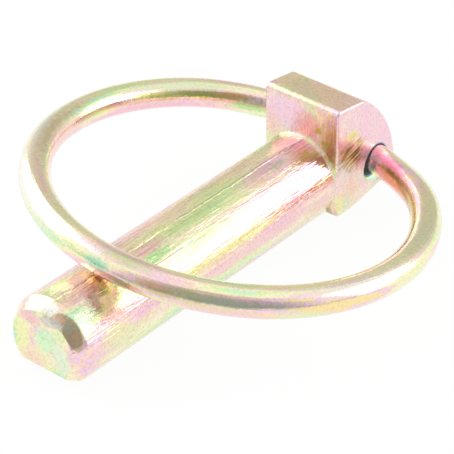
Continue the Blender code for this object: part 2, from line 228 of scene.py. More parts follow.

# Places where the film has a colour of its own, and painted shade, dim reflection and highlight
# where marked: centre and reach in mm, strength, softness where it isn't the usual one, colour.
SHANK_FILM_AND_PAINTED_LIGHT_PATCHES = (
    # The first three: painted shade of the ring where it crosses over the shank.
    ((-35.8, -2.6, 7.6), (2.8, 2.0, 1.1), 0.92, 1.2, "#F6DAD6"),
    ((-35.6, -3.6, 6.8), (1.4, 1.0, 1.2), 0.85, 1.2, "#E8C6BA"),
    ((-37.2, -1.2, 8.3), (2.8, 1.7, 0.9), 0.85, 1.3, "#F4C8C2"),
    ((-21.0, -3.6, 7.1), (9.0, 0.5, 0.5), 0.80, 1.4, "#FFEE9E"),
    ((-11.0, -3.0, 7.6), (8.0, 0.5, 0.5), 0.75, 1.4, "#FFCECE"),
    ((-27.0, -3.1, 7.5), (5.0, 0.5, 0.5), 0.75, 1.4, "#FFD6D2"),
    ((-27.2, -2.5, 7.9), (3.0, 0.7, 0.8), 0.85, "#B9E2A0"),
    ((-27.0, -1.3, 8.4), (3.4, 0.8, 0.5), 0.80, "#F5C6C6"),
    ((-20.5, -1.3, 8.4), (5.5, 1.0, 0.6), 0.75, "#D6EBAE"),
    ((-8.6, -1.0, 8.5), (4.2, 0.9, 0.6), 0.70, "#F0CDD4"),
    ((-6.0, -1.5, 8.3), (1.6, 0.5, 0.5), 0.60, "#C6C9B0"),
    ((-2.4, -2.2, 8.1), (1.9, 1.3, 1.2), 0.80, 1.0, "#EED4A8"),
    ((-2.0, 1.2, 8.5), (1.9, 1.9, 0.8), 0.85, "#F4C8CE"),
    ((-3.2, -0.8, 8.5), (1.4, 1.0, 0.6), 0.85, 1.0, "#E8D4CC"),
    # These two: tan along the top of the shank, a painted dim reflection.
    ((-13.0, 1.6, 8.2), (13.0, 1.3, 0.8), 0.60, 0.9, "#F0D8BE"),
    ((-30.5, 1.6, 8.2), (6.0, 1.3, 0.8), 0.60, 0.9, "#EED6C8"),
    ((-18.0, -4.8, 5.3), (17.0, 0.5, 0.55), 0.80, "#FAF0B0"),
    ((-7.0, -4.7, 5.5), (5.0, 0.4, 0.5), 0.90, 1.0, "#E8A8BC"),
    ((-2.5, -4.8, 3.0), (2.8, 0.7, 1.0), 0.85, "#FCD4C8"),
    ((-14.0, -5.0, 3.6), (18.0, 0.8, 1.0), 0.75, "#FBD0DA"),
    ((-16.0, -4.6, 1.6), (20.0, 0.8, 0.8), 0.60, "#E2EFC8"),
    ((-31.0, -4.7, 5.2), (4.5, 0.6, 1.3), 0.75, "#F7CCDC"),
    ((-35.6, -4.9, 4.6), (2.5, 0.5, 1.0), 0.75, "#FAF3B8"),
    ((-34.5, -5.0, 3.3), (4.0, 0.6, 1.3), 0.75, 1.2, "#ECF4C0"),
)
TIP_FILM_AND_PAINTED_LIGHT_PATCHES = (
    ((-41.3, 1.6, 6.6), (0.8, 1.8, 1.1), 0.95, "#FAD0D2"),
    ((-41.3, 2.7, 4.0), (0.8, 1.2, 2.0), 0.95, "#F8F8BE"),
    ((-41.3, -0.6, 4.6), (0.8, 1.8, 1.8), 0.95, "#DAFAD0"),
    ((-41.3, 1.3, 1.6), (0.8, 1.9, 1.0), 0.90, "#FCE2C8"),
    ((-41.3, -2.6, 3.0), (0.8, 1.2, 2.0), 0.90, "#E6F6DC"),
    # This and the next three: the chamfer's dark facet, a mottled painted dim reflection.
    ((-40.6, -3.3, 6.6), (0.72, 2.1, 2.5), 0.95, 0.1, "#D2BCA0"),
    ((-40.9, -2.2, 7.5), (0.6, 0.9, 0.6), 0.85, 0.5, "#F2C6AC"),
    ((-40.6, -3.1, 6.9), (0.5, 0.6, 0.7), 0.85, 0.5, "#C6CAAE"),
    ((-40.5, -3.9, 6.0), (0.5, 0.5, 0.9), 0.85, 0.5, "#DCC09C"),
    # A painted highlight on the chamfer's light facet.
    ((-40.6, -0.7, 8.2), (0.7, 1.0, 0.7), 0.90, 0.3, "#FFFFFA"),
    ((-41.1, -1.2, 7.0), (0.5, 1.6, 0.6), 0.90, 0.2, "#DCD8CE"),
)
HEAD_PATCHES = (
    ((0.0, 1.9, 11.0), (0.6, 4.4, 3.0), 0.95, "#FDD8EC"),
    ((0.0, -0.9, 10.4), (0.6, 2.3, 2.0), 0.90, "#F8BEC2"),
    # These two: browner towards the right of the head's front, by the shank.
    ((0.0, -4.1, 9.4), (0.6, 1.3, 3.0), 0.80, 1.1, "#ECB48A"),
    ((0.0, -4.3, 7.8), (0.6, 1.0, 1.6), 0.75, 1.1, "#DCA868"),
    ((0.0, -2.4, 10.1), (0.5, 0.7, 0.4), 0.95, 0.6, "#DCCB5A"),
    ((0.0, -3.3, 8.8), (0.5, 0.5, 0.4), 0.85, 0.6, "#DCCB72"),
    ((2.4, 0.0, 13.1), (3.4, 7.0, 0.7), 0.80, "#F2D4BC"),
    ((5.0, -5.1, 7.4), (8.0, 0.4, 8.4), 0.90, "#FCD6E4"),
    ((2.6, -5.1, 9.2), (1.5, 0.4, 0.9), 0.90, 1.2, "#F4F0A0"),
    ((0.5, -5.1, 1.5), (1.3, 0.4, 1.5), 0.90, 1.1, "#F4F0B0"),
    ((2.8, -5.1, 2.8), (2.0, 0.4, 2.2), 0.85, 1.2, "#FCD8C0"),
    ((0.0, -3.8, 0.3), (0.7, 1.3, 0.8), 0.90, 0.8, "#C4AA92"),
    ((0.0, 4.0, 8.8), (0.6, 1.5, 2.2), 0.85, 1.2, "#FAD2CC"),
)
# On the wire a place is given along it from the far side, outwards from its middle, and up.
WIRE_FILM_AND_PAINTED_LIGHT_PATCHES = (
    ((-57.0, -0.9, 0.2), (6.0, 0.8, 0.7), 0.90, "#FB9EBC"),
    ((-50.0, -1.45, -1.0), (13.0, 0.8, 0.9), 0.85, "#FBA890"),
    ((-52.0, -1.5, -0.2), (10.0, 0.4, 0.45), 0.80, "#C79A58"),
    ((-44.0, 0.2, 1.6), (12.0, 1.5, 0.7), 0.60, "#E2D4B6"),
    ((-13.5, 1.6, 0.5), (7.0, 0.6, 0.5), 0.85, "#C2CCBC"),
    ((-7.0, 1.6, 0.6), (2.0, 0.5, 0.4), 0.80, "#FFC8A0"),
    ((-10.0, 1.5, 0.8), (2.6, 0.5, 0.4), 0.75, 1.2, "#D8DCA2"),
    ((-0.8, 1.5, 0.4), (1.6, 0.6, 0.7), 0.85, "#ACE4C6"),
    ((-6.7, 1.2, -1.2), (4.0, 0.9, 0.7), 0.75, "#F0F6B0"),
    ((-3.4, 0.5, 1.6), (3.6, 0.9, 0.6), 0.90, 1.1, "#D6DAAC"),
    ((-8.0, 1.7, 0.1), (4.5, 0.5, 0.5), 0.85, 1.2, "#CEC496"),
    ((-12.5, 1.6, -0.3), (4.5, 0.5, 0.5), 0.75, 1.2, "#F0E2B2"),
    ((-14.5, 1.4, -1.0), (6.0, 0.9, 0.7), 0.75, "#FCD8D6"),
    ((-21.0, 1.5, -0.7), (3.5, 0.8, 0.6), 0.75, "#E6F8C4"),
    # A painted dim reflection: the olive band along the wire's inner side, on the left by the head.
    ((47.0, -1.5, 0.6), (9.0, 0.6, 0.6), 0.95, 1.0, "#B0B86A"),
    ((45.0, -0.8, 1.4), (9.0, 0.9, 0.5), 0.70, "#DCF2BC"),
    ((40.0, -1.5, -0.7), (13.0, 0.8, 0.7), 0.85, "#FBC8D8"),
    ((51.5, -1.4, 0.7), (2.6, 0.5, 0.5), 0.80, "#E4B47C"),
    ((53.5, -1.6, -0.3), (3.0, 0.6, 0.6), 0.80, "#B8E6A0"),
    ((18.0, 0.2, 1.6), (16.0, 1.7, 0.8), 0.85, 1.3, "#F2D8CC"),
    ((24.0, -0.5, 1.5), (8.0, 0.7, 0.6), 0.70, 1.3, "#D8C4A8"),
    # A painted highlight: the white strip along the wire's outer side, on the left.
    ((16.0, 1.6, 0.6), (12.0, 0.6, 0.9), 0.85, "#FFFCF6"),
    ((26.0, -1.5, 0.6), (9.0, 0.6, 0.9), 0.85, "#FCD6D0"),
    ((-27.0, 0.7, 1.5), (8.0, 0.9, 0.7), 0.75, 1.2, "#F2EAE4"),
    ((-40.0, 0.2, 1.6), (6.0, 1.4, 0.7), 0.60, 1.4, "#DCE6C8"),
)

# The photograph's camera: its place, the ways it faces, and its lens in mm.
CAMERA_PLACE = Vector((-0.154774, -0.118239, 0.125240))
CAMERA_RIGHT = Vector((0.63782, -0.77018, -0.00407))
CAMERA_FORWARD = Vector((0.64115, 0.53388, -0.55127))
SENSOR_WIDTH = 36.0
LENS = 163.19
CLIP_START = 0.01

# Studio: a white surround, what is dim in it, and the softboxes. A dim place has an azimuth, an
# elevation, the angles where it is full and where it ends, and a colour. A softbox has a name, an
# azimuth, an elevation, a width, a height and a radiance.
WHITE = "#FFFFFF"
DIM_PLACES = (
    (-142, 12, 24, 60, "#BCBCBA"),
    (22, 20, 12, 48, "#D8D6CC"),
)
SOFTBOX_DISTANCE = 0.4
SOFTBOXES = (
    ("softbox_right", -52, 18, 0.30, 0.36, 1.3),
    ("softbox_left", 102, 32, 0.40, 0.40, 1.3),
)

# The floor's white card: its size, where it ends towards the camera, and how much it glows.
FLOOR_SIZE = 4.0
CARD_EDGE = 64 * MM
CARD_EDGE_BLUR = 20 * MM
CARD_END_GLOW = 0.45
GLOW_SHARE = 0.94


def edit(obj, elements):
    """Opens a mesh for editing, with nothing selected."""
    bpy.ops.object.select_all(action="DESELECT")
    bpy.context.view_layer.objects.active = obj
    obj.select_set(True)
    bpy.ops.object.mode_set(mode="EDIT")
    bpy.ops.mesh.select_mode(type=elements)
    bpy.ops.mesh.select_all(action="DESELECT")


def select(elements, test):
    """Adds to the selection the open mesh's verts, edges or faces that pass the test."""
    mesh = bpy.context.object.data
    shape = bmesh.from_edit_mesh(mesh)
    for item in getattr(shape, elements):
        if test(item):
            item.select_set(True)
    shape.select_flush_mode()
    bmesh.update_edit_mesh(mesh)


def near(value, other):
    return abs(value - other) < SAME_PLACE


def all_near(edge, axis, value):
    """Whether both ends of an edge lie at this value along an axis."""
    return all(near(vert.co.dot(axis), value) for vert in edge.verts)


def close_mesh():
    """Merges what meets, fills what is open and turns every face outwards."""
    bpy.ops.mesh.select_all(action="SELECT")
    bpy.ops.mesh.remove_doubles(threshold=MERGE_DISTANCE)
    bpy.ops.mesh.fill_holes(sides=0)
    bpy.ops.mesh.normals_make_consistent(inside=False)
    bpy.ops.mesh.select_all(action="DESELECT")


def round_edges(width, segments):
    bpy.ops.mesh.bevel(offset=width, offset_type="OFFSET", segments=segments, profile=0.5)


def cut_open_mesh(place, normal):
    """Cuts away what lies beyond a plane, on the side that its normal points to."""
    bpy.ops.mesh.select_all(action="SELECT")
    bpy.ops.mesh.bisect(
        plane_co=place,
        plane_no=normal,
        clear_outer=True,
        use_fill=True,
        threshold=CUT_THRESHOLD,
    )


def new_piece(name):
    """Names the primitive that was just added, and applies its place."""
    obj = bpy.context.object
    obj.name = name
    obj.data.name = name
    bpy.ops.object.transform_apply()
    return obj


def apply_modifier(obj, kind, **settings):
    bpy.ops.object.select_all(action="DESELECT")
    bpy.context.view_layer.objects.active = obj
    obj.select_set(True)
    modifier = obj.modifiers.new(kind.lower(), kind)
    for name, value in settings.items():
        setattr(modifier, name, value)
    bpy.ops.object.modifier_apply(modifier=modifier.name)


def join(obj, other, operation):
    """Adds another piece to this one or cuts it away, and removes the other."""
    apply_modifier(obj, "BOOLEAN", operation=operation, solver="EXACT", object=other)
    bpy.data.objects.remove(other, do_unlink=True)


def heading_at(angle):
    return Vector((math.cos(angle), math.sin(angle)))


def straight(length):
    return (length, 0, 0, 0)


def turn_left(radius, angle, steps):
    """A rounded turn. A negative radius and angle turn to the right."""
    return (0, radius, angle, steps)


def pivot(angle):
    return (0, 0, angle, 0)


def trace(along, up, point, angle, moves):
    """Carries the selected edge or point along an outline, as a pen would go.

    The outline lies in the plane of along and up. Spin turns clockwise, hence its axis.
    """
    for length, radius, turn, steps in moves:
        ahead = along * math.cos(angle) + up * math.sin(angle)
        left = up * math.cos(angle) - along * math.sin(angle)
        if length:
            bpy.ops.mesh.extrude_region_move(TRANSFORM_OT_translate={"value": ahead * length})
            point = point + ahead * length
        if steps:
            centre = point + left * radius
            bpy.ops.mesh.spin(steps=steps, angle=turn, center=centre, axis=up.cross(along))
            left = up * math.cos(angle + turn) - along * math.sin(angle + turn)
            point = centre - left * radius
        angle += turn


def corner_centre(point, heading, big_centre, big_radius, radius, sign):
    """Centre of a rounding that touches the line through point and the inside of the big arc."""
    start = point + Vector((-heading.y, heading.x)) * radius
    offset = start - big_centre
    along = offset.dot(heading)
    reach = math.sqrt(along**2 - offset.length_squared + (big_radius - radius) ** 2)
    return start + heading * (sign * reach - along)


def angle_of(vector):
    return math.atan2(vector.y, vector.x) % math.tau


def make_head():
    """The head's front face carried round its side outline, raised on the left, its rims rounded."""
    furthest = HEAD_BACK_HEIGHT
    across = HEAD_LENGTH - HEAD_TOP_LENGTH
    down = HEAD_TOP - HEAD_TOP_LENGTH * math.tan(HEAD_TOP_SLOPE) - furthest
    back_radius = (across**2 + down**2) / (2 * across)
    back = Vector((HEAD_LENGTH - back_radius, furthest))
    belly_start = Vector((HEAD_BELLY_FLAT, FOOT_HEIGHT))
    belly = heading_at(HEAD_BELLY_SLOPE)
    top_angle = math.pi - HEAD_TOP_SLOPE
    top = heading_at(top_angle)
    top_front = Vector((0, HEAD_TOP))
    foot_centre = corner_centre(belly_start, belly, back, back_radius, BACK_FOOT_RADIUS, 1)
    crown_centre = corner_centre(top_front, top, back, back_radius, BACK_TOP_RADIUS, -1)
    back_start = angle_of(foot_centre - back)
    back_end = angle_of(crown_centre - back)
    foot_turn = back_start + math.pi / 2 - HEAD_BELLY_SLOPE
    crown_turn = top_angle - back_end - math.pi / 2
    front_turn = math.pi * 1.5 - top_angle
    front_reach = FRONT_TOP_RADIUS * math.tan(front_turn / 2)
    lower = FOOT_HEIGHT + FRONT_FOOT_RADIUS
    upper = HEAD_TOP - front_reach
    bpy.ops.mesh.primitive_plane_add(size=1, rotation=(0, math.pi / 2, 0))
    bpy.context.object.scale = (upper - lower, 2 * HEAD_HALF_WIDTH, 1)
    bpy.context.object.location = (0, 0, (upper + lower) / 2)
    head = new_piece("head")
    edit(head, "EDGE")
    select("edges", lambda edge: all_near(edge, Z, lower))
    moves = [
        turn_left(FRONT_FOOT_RADIUS, math.pi / 2, HEAD_CORNER_STEPS),
        straight(HEAD_BELLY_FLAT - FRONT_FOOT_RADIUS),
        pivot(HEAD_BELLY_SLOPE),
        straight((foot_centre - belly_start).dot(belly)),
        turn_left(BACK_FOOT_RADIUS, foot_turn % math.tau, HEAD_BACK_FOOT_STEPS),
        turn_left(back_radius, (back_end - back_start) % math.tau, HEAD_BACK_STEPS),
        turn_left(BACK_TOP_RADIUS, crown_turn % math.tau, HEAD_CORNER_STEPS),
        straight((top_front - crown_centre).dot(top) - front_reach),
        turn_left(FRONT_TOP_RADIUS, front_turn, HEAD_CORNER_STEPS),
    ]
    trace(X, Z, Vector((0, 0, lower)), -math.pi / 2, moves)
    close_mesh()
    bpy.ops.mesh.select_mode(type="VERT")
    select("verts", lambda vert: vert.co.y > 0 and vert.co.z > HEAD_RISE_START)
    rise = 1 + HEAD_TOP_RISE_LEFT / (HEAD_TOP - HEAD_RISE_START)
    bpy.ops.transform.resize(value=(1, 1, rise), center_override=(0, 0, HEAD_RISE_START))
    bpy.ops.mesh.select_all(action="DESELECT")
    bpy.ops.mesh.select_mode(type="EDGE")
    for side in (HEAD_HALF_WIDTH, -HEAD_HALF_WIDTH):
        select("edges", lambda edge: all_near(edge, Y, side))
    round_edges(HEAD_RIM_RADIUS, HEAD_RIM_SEGMENTS)
    bpy.ops.object.mode_set(mode="OBJECT")
    return head


def make_shank():
    """The flat carried round the shank's section, with its end chamfered and nicked."""
    corner = FLAT_CORNER_RADIUS
    drop = AXIS_HEIGHT - corner
    half_flat = math.sqrt((SHANK_RADIUS - corner) ** 2 - drop**2)
    corner_turn = math.atan2(half_flat, drop)
    shoulder = TIP_CHAMFER_LENGTH - SHANK_LENGTH
    length = ROOT_IN_HEAD - shoulder
    bpy.ops.mesh.primitive_plane_add(size=1)
    bpy.context.object.scale = (length, 2 * half_flat, 1)
    bpy.context.object.location = (shoulder + length / 2, 0, 0)
    shank = new_piece("shank")
    edit(shank, "EDGE")
    select("edges", lambda edge: all(vert.co.y > 0 for vert in edge.verts))
    moves = [
        turn_left(corner, corner_turn, FLAT_CORNER_STEPS),
        turn_left(SHANK_RADIUS, math.tau - 2 * corner_turn, SHANK_STEPS),
        turn_left(corner, corner_turn, FLAT_CORNER_STEPS),
    ]
    trace(Y, Z, Vector((0, half_flat, 0)), 0.0, moves)
    close_mesh()
    bpy.ops.mesh.select_mode(type="FACE")
    select("faces", lambda face: face.normal.x < -FACING)
    bpy.ops.mesh.inset(thickness=TIP_CHAMFER_DEPTH, depth=TIP_CHAMFER_LENGTH)
    bpy.ops.mesh.select_mode(type="EDGE")
    bpy.ops.mesh.select_all(action="DESELECT")
    for x in (shoulder, -SHANK_LENGTH):
        select("edges", lambda edge: all_near(edge, X, x))
    round_edges(TIP_EDGE_WIDTH, TIP_EDGE_SEGMENTS)
    nick_side = Z * math.cos(TIP_NICK_TURN) - Y * math.sin(TIP_NICK_TURN)
    nick = nick_side * math.sin(TIP_NICK_SLOPE) - X * math.cos(TIP_NICK_SLOPE)
    middle = Vector((-SHANK_LENGTH, 0, AXIS_HEIGHT)) + nick_side * TIP_NICK_REACH
    cut_open_mesh(middle, nick)
    bpy.ops.object.mode_set(mode="OBJECT")
    return shank


def make_fillet():
    """The hollow fillet where the shank's round side meets the head's front."""
    inner = SHANK_RADIUS - FILLET_ROOT
    outer = SHANK_RADIUS + FILLET_RADIUS - FILLET_SINK
    quarter = math.pi / 2
    start = Vector((FILLET_ROOT, 0, AXIS_HEIGHT + inner))
    bpy.ops.mesh.primitive_plane_add(size=1, location=start)
    fillet = new_piece("fillet")
    edit(fillet, "VERT")
    bpy.ops.mesh.select_all(action="SELECT")
    bpy.ops.mesh.merge(type="CENTER")
    moves = [
        straight(outer - inner),
        pivot(quarter),
        straight(FILLET_ROOT - FILLET_SINK),
        pivot(quarter),
        turn_left(-FILLET_RADIUS, -quarter, FILLET_STEPS),
        pivot(quarter),
        straight(SHANK_RADIUS - FILLET_SINK - inner),
        pivot(quarter),
        straight(FILLET_ROOT + FILLET_RADIUS - FILLET_SINK),
    ]
    trace(X, Z, start, quarter, moves)
    bpy.ops.mesh.select_all(action="SELECT")
    bpy.ops.mesh.remove_doubles(threshold=MERGE_DISTANCE)
    middle = (0, 0, AXIS_HEIGHT)
    bpy.ops.mesh.spin(steps=FILLET_ROUND_STEPS, angle=math.tau, center=middle, axis=X)
    close_mesh()
    side = SHANK_RADIUS + FILLET_PAST_SHANK
    for place, normal in (
        ((0, side, 0), Y),
        ((0, -side, 0), -Y),
        ((0, 0, FLAT_CORNER_RADIUS), -Z),
    ):
        cut_open_mesh(place, normal)
    close_mesh()
    bpy.ops.object.mode_set(mode="OBJECT")
    return fillet


def make_hole_cutter():
    """The slanting cross-hole, flared at its mouths."""
    throat = MOUTH_DISTANCE - HOLE_MOUTH_CHAMFER
    past = HEAD_HALF_WIDTH
    middle = HINGE + HOLE_SHIFT
    turned = HINGE_AXIS.to_track_quat("Z", "Y").to_euler()
    bpy.ops.mesh.primitive_cylinder_add(
        vertices=HOLE_SIDES,
        radius=HOLE_RADIUS,
        depth=2 * throat,
        location=middle,
        rotation=turned,
    )
    cutter = new_piece("cross_hole")
    edit(cutter, "FACE")
    beyond = past + HOLE_MOUTH_CHAMFER
    flare = (HOLE_RADIUS + beyond) / HOLE_RADIUS
    for side in (1, -1):
        bpy.ops.mesh.select_all(action="DESELECT")
        select("faces", lambda face: face.normal.dot(HINGE_AXIS) * side > FACING)
        shift = HINGE_AXIS * (side * beyond)
        bpy.ops.mesh.extrude_region_move(TRANSFORM_OT_translate={"value": shift})
        end = middle + HINGE_AXIS * (side * (throat + beyond))
        bpy.ops.transform.resize(value=(flare, flare, flare), center_override=end)
    bpy.ops.object.mode_set(mode="OBJECT")
    return cutter


def make_pin():
    pin = make_shank()
    join(pin, make_fillet(), "UNION")
    join(pin, make_head(), "UNION")
    join(pin, make_hole_cutter(), "DIFFERENCE")
    pin.name = "plated_pin"
    pin.data.name = "plated_pin"
    return pin


def ring_frame():
    """The ring's centre, and unit vectors across it to the left and from the hinge outwards."""
    across = Vector((0, math.cos(RING_TWIST), math.sin(RING_TWIST)))
    to_centre = math.sqrt(RING_RADIUS**2 - HEAD_HALF_WIDTH**2)
    height_at_hinge = (HINGE.z - AXIS_HEIGHT + RING_ABOVE_HINGE) * math.cos(RING_TWIST)
    height_at_rest = SHANK_RADIUS + WIRE_RADIUS + RING_REST_GAP
    rise = math.asin((height_at_rest - height_at_hinge) / (to_centre + RING_RADIUS))
    upward = Vector((0, -math.sin(RING_TWIST), math.cos(RING_TWIST)))
    outward = upward * math.sin(rise) - X * math.cos(rise)
    centre = HINGE + Z * RING_ABOVE_HINGE + outward * to_centre - across * RING_SIDE_SHIFT
    return centre, across, outward


def smooth_step(share):
    return share * share * (3 - 2 * share)


def hermite(start, start_tangent, end, end_tangent, share):
    """A point of the cubic that leaves start along one tangent and reaches end along the other."""
    s2 = share * share
    s3 = s2 * share
    leaving = (2 * s3 - 3 * s2 + 1) * start + (s3 - 2 * s2 + share) * start_tangent
    return leaving + (3 * s2 - 2 * s3) * end + (s3 - s2) * end_tangent


def half_route(side):
    """The wire's centreline from its end in the hole to the far side: left (1) or right (-1)."""
    centre, across, outward = ring_frame()
    mouth_angle = math.asin((HEAD_HALF_WIDTH + side * RING_SIDE_SHIFT) / RING_RADIUS)

    def circle(angle):
        sideways = side * math.sin(angle) * across
        return centre + RING_RADIUS * (sideways - math.cos(angle) * outward)

    spring = HINGE + HINGE_AXIS * (side * MOUTH_DISTANCE) - circle(mouth_angle)

    def sprung(angle):
        share = (mouth_angle + SPRUNG_SWEEP - angle) / SPRUNG_SWEEP
        return circle(angle) + spring * smooth_step(min(max(share, 0.0), 1.0))

    stub_end = HINGE + HINGE_AXIS * (side * (MOUTH_DISTANCE + STUB_PAST_MOUTH))
    join_angle = mouth_angle + (STUB_PAST_MOUTH + LEAD_IN_LENGTH) / RING_RADIUS
    join = sprung(join_angle)
    leave = HINGE_AXIS * side * LEAD_IN_LENGTH
    arrive = (sprung(join_angle + RING_TANGENT_STEP) - join).normalized() * LEAD_IN_LENGTH
    points = [HINGE + HINGE_AXIS * (side * WIRE_END_GAP / 2)]
    for i in range(LEAD_IN_STEPS):
        points.append(hermite(stub_end, leave, join, arrive, i / LEAD_IN_STEPS))
    sweep = math.pi - join_angle
    count = math.ceil(sweep / RING_STEP)
    for i in range(count + 1):
        points.append(sprung(join_angle + sweep * i / count))
    return points


def make_ring():
    """One piece of wire along the ring's route, with chamfered ends."""
    route = half_route(1) + half_route(-1)[-2::-1]
    bpy.ops.curve.primitive_nurbs_path_add()
    path = bpy.context.object
    wire = path.data
    wire.splines.clear()
    spline = wire.splines.new("POLY")
    spline.points.add(len(route) - 1)
    for control, point in zip(spline.points, route):
        control.co = (*point, 1.0)
    wire.twist_mode = "Z_UP"
    wire.bevel_depth = WIRE_RADIUS
    wire.bevel_resolution = WIRE_BEVEL_RESOLUTION
    wire.use_fill_caps = True
    bpy.ops.object.convert(target="MESH")
    ring = new_piece("lock_ring_wire")
    edit(ring, "FACE")
    close_mesh()
    for side in (1, -1):
        end = HINGE + HINGE_AXIS * (side * WIRE_END_GAP / 2)

        def on_end(face):
            return all((vert.co - end).length < WIRE_END_REACH for vert in face.verts)

        bpy.ops.mesh.select_mode(type="FACE")
        bpy.ops.mesh.select_all(action="DESELECT")
        select("faces", on_end)
        bpy.ops.mesh.dissolve_faces()
        bpy.ops.mesh.region_to_loop()
        round_edges(WIRE_END_CHAMFER, WIRE_END_SEGMENTS)
    bpy.ops.object.mode_set(mode="OBJECT")
    return ring


def linear(hex_colour):
    """A colour written in sRGB, as Blender's sockets take it."""
    channels = [int(hex_colour[i : i + 2], 16) / 255 for i in (1, 3, 5)]
    return (*(c / 12.92 if c <= 0.04045 else ((c + 0.055) / 1.055) ** 2.4 for c in channels), 1.0)


def add_node(tree, kind, inputs=None, stops=None, **settings):
    """Adds a node with its settings, its input values or links, and a colour ramp's stops."""
    node = tree.nodes.new(kind)
    for name, value in settings.items():
        setattr(node, name, value)
    for key, value in (inputs or {}).items():
        if isinstance(value, bpy.types.NodeSocket):
            tree.links.new(value, node.inputs[key])
        else:
            node.inputs[key].default_value = value
    if stops:
        elements = node.color_ramp.elements
        while len(elements) > 1:
            elements.remove(elements[-1])
        elements[0].position = stops[0][0]
        elements[0].color = linear(stops[0][1])
        for position, colour in stops[1:]:
            elements.new(position).color = linear(colour)
    return node


def new_metal(name):
    """A bare metal's material, with its tree and shader."""
    material = bpy.data.materials.new(name)
    material.use_nodes = True
    tree = material.node_tree
    shader = tree.nodes["Principled BSDF"]
    shader.inputs["Metallic"].default_value = 1.0
    return material, tree, shader


def film_colour(tree, grain, clouds):
    """Colour of the chromate film, which clouds along the grain make thinner or thicker."""
    thickness = MIDDLE_THICKNESS - sum(weight for *_, weight in clouds) / 2
    for name, size, weight in clouds:
        apart = {"Vector": grain[name], "Location": (size, size, size)}
        moved = add_node(tree, "ShaderNodeMapping", apart)
        cloud = add_node(
            tree,
            "ShaderNodeTexNoise",
            {"Vector": moved.outputs["Vector"], "Scale": 1 / size, "Detail": 1.5},
        )
        layer = {0: cloud.outputs["Fac"], 1: weight, 2: thickness}
        thickness = add_node(tree, "ShaderNodeMath", layer, operation="MULTIPLY_ADD").outputs[0]
    ramp = add_node(tree, "ShaderNodeValToRGB", {"Fac": thickness}, stops=FILM_COLOURS)
    return ramp.outputs["Color"]


def ragged_cover(tree, place, centre, reach, strength, softness=PATCH_SOFTNESS):
    """How much a soft-edged, ragged patch covers: its strength inside, and 0 beyond its reach."""
    ragged = add_node(
        tree,
        "ShaderNodeTexNoise",
        {"Vector": place, "Scale": 1 / PATCH_RAG, "Detail": 5.0, "Roughness": 0.7},
    )
    centre_mm, reach_mm = Vector(centre) * MM, Vector(reach) * MM
    off = add_node(tree, "ShaderNodeVectorMath", {0: place, 1: centre_mm}, operation="SUBTRACT")
    share = add_node(
        tree, "ShaderNodeVectorMath", {0: off.outputs[0], 1: reach_mm}, operation="DIVIDE"
    )
    away = add_node(tree, "ShaderNodeVectorMath", {0: share.outputs[0]}, operation="LENGTH")
    rag = {0: ragged.outputs["Fac"], 1: PATCH_RAG_SWING * softness, 2: away.outputs["Value"]}
    edge = add_node(tree, "ShaderNodeMath", rag, operation="MULTIPLY_ADD")
    fade = {
        "Value": edge.outputs[0],
        "From Min": 1 + PATCH_FADE_OUT * softness,
        "From Max": 1 + PATCH_FADE_IN * softness,
        "To Max": strength,
    }
    return add_node(
        tree, "ShaderNodeMapRange", fade, interpolation_type="SMOOTHSTEP"
    ).outputs[0]


def with_patches(tree, colour, place, patches):
    """The film's colour with a patch of another at each place; some patches are painted shade, dim
    reflection and highlight.
    """
    for *cover_values, tint in patches:
        cover = ragged_cover(tree, place, *cover_values)
        mixed = {"Factor": cover, "A": colour, "B": linear(tint)}
        colour = add_node(tree, "ShaderNodeMix", mixed, data_type="RGBA").outputs["Result"]
    return colour


def scratched_with_painted_reflection(tree, colour, place):
    """The colour with slanting scratches by the hole's right mouth, olive-brown and pale: painted dim
    reflection and glints.
    """
    slanted = add_node(
        tree, "ShaderNodeMapping", {"Vector": place, "Rotation": (0, SCRATCH_SLANT, 0)}
    )
    drawn = add_node(
        tree,
        "ShaderNodeMapping",
        {"Vector": slanted.outputs[0], "Scale": (SCRATCH_STRETCH, 1, 1)},
    )
    lines = add_node(
        tree,
        "ShaderNodeTexNoise",
        {"Vector": drawn.outputs[0], "Scale": 1 / SCRATCH_PITCH, "Detail": 2.0},
    )
    tint = add_node(
        tree,
        "ShaderNodeValToRGB",
        {"Fac": lines.outputs["Fac"]},
        stops=SCRATCH_AND_PAINTED_REFLECTION_COLOURS,
    )
    cover = ragged_cover(tree, place, *SCRATCHED_PLACE)
    mixed = {"Factor": cover, "A": colour, "B": tint.outputs["Color"]}
    return add_node(tree, "ShaderNodeMix", mixed, data_type="RGBA").outputs["Result"]


def speckled(tree, colour, place, strength):
    """The colour with the plating's fine crystals, each a little lighter or darker."""
    crystals = add_node(
        tree, "ShaderNodeTexNoise", {"Vector": place, "Scale": 1 / FILM_GRAIN, "Detail": 1.0}
    )
    shade = add_node(
        tree,
        "ShaderNodeValToRGB",
        {"Fac": crystals.outputs["Fac"]},
        stops=CRYSTAL_SHADES,
    )
    mixed = {"Factor": strength, "A": colour, "B": shade.outputs["Color"]}
    return add_node(
        tree, "ShaderNodeMix", mixed, data_type="RGBA", blend_type="MULTIPLY"
    ).outputs["Result"]


def relief(tree, grain, layers, strength=1.0, ridge=None):
    """Bump from layers along the grain, and a ridge where there is one."""
    heights = []
    for name, size, height in layers:
        bumps = add_node(
            tree, "ShaderNodeTexNoise", {"Vector": grain[name], "Scale": 1 / size, "Detail": 2.0}
        )
        heights.append((bumps.outputs["Fac"], height))
    if ridge:
        heights.append(ridge)
    inputs = {"Strength": strength}
    for level, height in heights:
        inputs.update({"Height": level, "Distance": height})
        inputs["Normal"] = add_node(tree, "ShaderNodeBump", inputs).outputs["Normal"]
    return inputs["Normal"]


